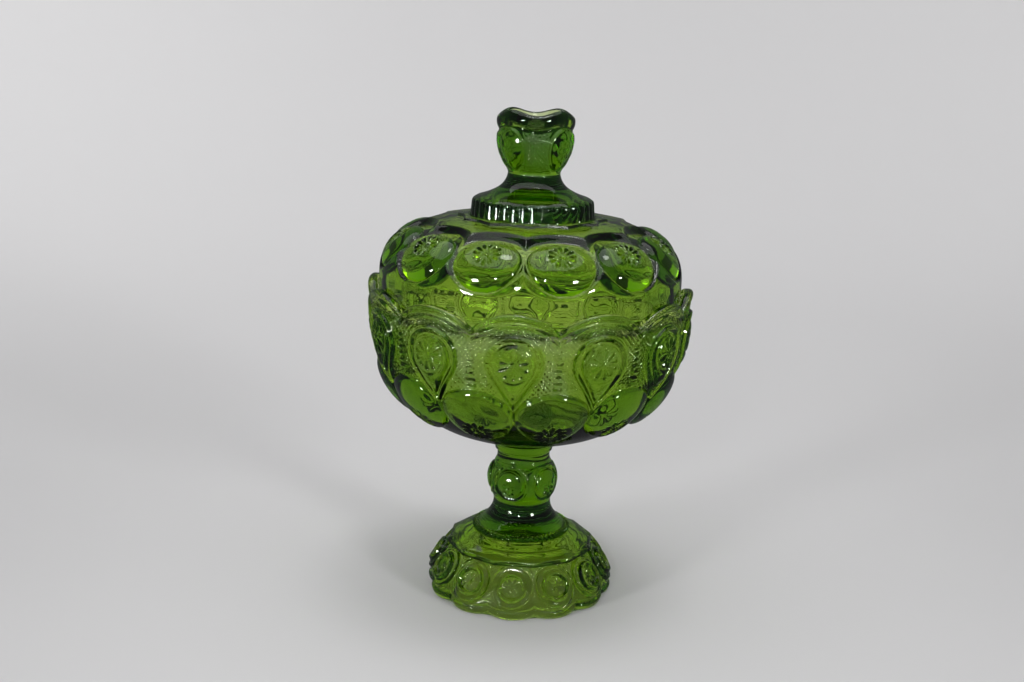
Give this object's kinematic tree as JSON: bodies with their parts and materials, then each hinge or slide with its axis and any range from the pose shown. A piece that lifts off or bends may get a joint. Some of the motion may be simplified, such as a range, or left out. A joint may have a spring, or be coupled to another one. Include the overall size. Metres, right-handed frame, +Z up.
{
  "type": "covered candy dish",
  "caption": "Covered candy dish in pressed green glass: a footed bowl with a scalloped rim and a domed lift-off lid with a cupped finial.",
  "frame": {"origin": "centre of the foot's ring on the table", "axes": "+Z up along the stem, -Y towards the front"},
  "size_m": [0.1566, 0.1566, 0.238],
  "materials": {
    "green_glass": "polished"
  },
  "bodies": {
    "footed_bowl": {"footed_bowl": "green_glass"},
    "lid": {"lid": "green_glass"}
  },
  "joints": [
    {"name": "lid_lift", "type": "slide", "parent": "footed_bowl", "child": "lid", "axis": [0, 0, 1], "range_m": [0, 0.12]}
  ]
}
